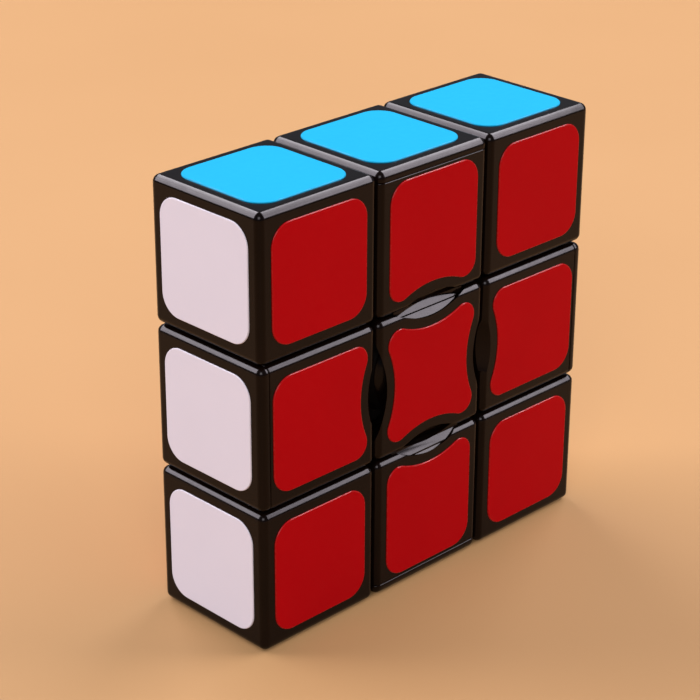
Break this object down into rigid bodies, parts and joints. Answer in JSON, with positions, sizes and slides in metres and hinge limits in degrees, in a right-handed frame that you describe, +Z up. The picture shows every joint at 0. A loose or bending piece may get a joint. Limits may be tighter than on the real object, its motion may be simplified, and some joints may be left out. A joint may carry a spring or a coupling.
{
  "type": "flat twisty puzzle",
  "caption": "Flat square twisty puzzle: cubelets with coloured stickers round a sprung centre, whose outer rows turn about screw axes to scramble and solve the faces.",
  "frame": {"origin": "middle of the underside that it stands on", "axes": "+Z up, X along the wide face, the red front face towards -Y"},
  "size_m": [0.057, 0.019, 0.057],
  "materials": {
    "black_plastic": "glossy near-black moulded plastic",
    "steel": "plain zinc-plated steel",
    "red_sticker": "satin vinyl sticker",
    "orange_sticker": "satin vinyl sticker",
    "blue_sticker": "satin vinyl sticker",
    "green_sticker": "satin vinyl sticker",
    "white_sticker": "satin vinyl sticker",
    "yellow_sticker": "satin vinyl sticker"
  },
  "bodies": {
    "centre": {"core": "black_plastic", "centre_cap_front": "black_plastic", "centre_cap_back": "black_plastic", "centre_sticker_front": "red_sticker", "centre_sticker_back": "orange_sticker", "tension_screws": "steel", "tension_springs": "steel", "spring_washers": "steel"},
    "top_edge": {"top_edge_body": "black_plastic", "top_edge_cap": "black_plastic", "top_edge_sticker_front": "red_sticker", "top_edge_sticker_back": "orange_sticker", "top_edge_sticker_top": "blue_sticker"},
    "bottom_edge": {"bottom_edge_body": "black_plastic", "bottom_edge_cap": "black_plastic", "bottom_edge_sticker_front": "red_sticker", "bottom_edge_sticker_back": "orange_sticker", "bottom_edge_sticker_bottom": "green_sticker"},
    "left_edge": {"left_edge_body": "black_plastic", "left_edge_cap": "black_plastic", "left_edge_sticker_front": "red_sticker", "left_edge_sticker_back": "orange_sticker", "left_edge_sticker_left": "white_sticker"},
    "right_edge": {"right_edge_body": "black_plastic", "right_edge_cap": "black_plastic", "right_edge_sticker_front": "red_sticker", "right_edge_sticker_back": "orange_sticker", "right_edge_sticker_right": "yellow_sticker"},
    "corner_top_left": {"corner_tl_shell": "black_plastic", "corner_tl_foot": "black_plastic", "corner_tl_sticker_front": "red_sticker", "corner_tl_sticker_back": "orange_sticker", "corner_tl_sticker_top": "blue_sticker", "corner_tl_sticker_left": "white_sticker"},
    "corner_top_right": {"corner_tr_shell": "black_plastic", "corner_tr_foot": "black_plastic", "corner_tr_sticker_front": "red_sticker", "corner_tr_sticker_back": "orange_sticker", "corner_tr_sticker_top": "blue_sticker", "corner_tr_sticker_right": "yellow_sticker"},
    "corner_bottom_left": {"corner_bl_shell": "black_plastic", "corner_bl_foot": "black_plastic", "corner_bl_sticker_front": "red_sticker", "corner_bl_sticker_back": "orange_sticker", "corner_bl_sticker_bottom": "green_sticker", "corner_bl_sticker_left": "white_sticker"},
    "corner_bottom_right": {"corner_br_shell": "black_plastic", "corner_br_foot": "black_plastic", "corner_br_sticker_front": "red_sticker", "corner_br_sticker_back": "orange_sticker", "corner_br_sticker_bottom": "green_sticker", "corner_br_sticker_right": "yellow_sticker"}
  },
  "joints": [
    {"name": "top_turn", "type": "hinge", "parent": "centre", "child": "top_edge", "pos_m": [0, 0, 0.0285], "axis": [0, 0, 1], "range_deg": [-180, 180]},
    {"name": "bottom_turn", "type": "hinge", "parent": "centre", "child": "bottom_edge", "pos_m": [0, 0, 0.0285], "axis": [0, 0, 1], "range_deg": [-180, 180]},
    {"name": "left_turn", "type": "hinge", "parent": "centre", "child": "left_edge", "pos_m": [0, 0, 0.0285], "axis": [1, 0, 0], "continuous": true},
    {"name": "right_turn", "type": "hinge", "parent": "centre", "child": "right_edge", "pos_m": [0, 0, 0.0285], "axis": [1, 0, 0], "continuous": true},
    {"name": "top_left_corner_turn", "type": "hinge", "parent": "top_edge", "child": "corner_top_left", "pos_m": [0, 0, 0.0285], "axis": [1, 0, 0], "continuous": true},
    {"name": "top_right_corner_turn", "type": "hinge", "parent": "top_edge", "child": "corner_top_right", "pos_m": [0, 0, 0.0285], "axis": [1, 0, 0], "continuous": true},
    {"name": "bottom_left_corner_turn", "type": "hinge", "parent": "bottom_edge", "child": "corner_bottom_left", "pos_m": [0, 0, 0.0285], "axis": [1, 0, 0], "continuous": true},
    {"name": "bottom_right_corner_turn", "type": "hinge", "parent": "bottom_edge", "child": "corner_bottom_right", "pos_m": [0, 0, 0.0285], "axis": [1, 0, 0], "continuous": true}
  ],
  "couplings": [
    {"joint": "top_left_corner_turn", "follows": "left_turn", "ratio": 1},
    {"joint": "top_right_corner_turn", "follows": "right_turn", "ratio": 1},
    {"joint": "bottom_left_corner_turn", "follows": "left_turn", "ratio": 1},
    {"joint": "bottom_right_corner_turn", "follows": "right_turn", "ratio": 1}
  ]
}
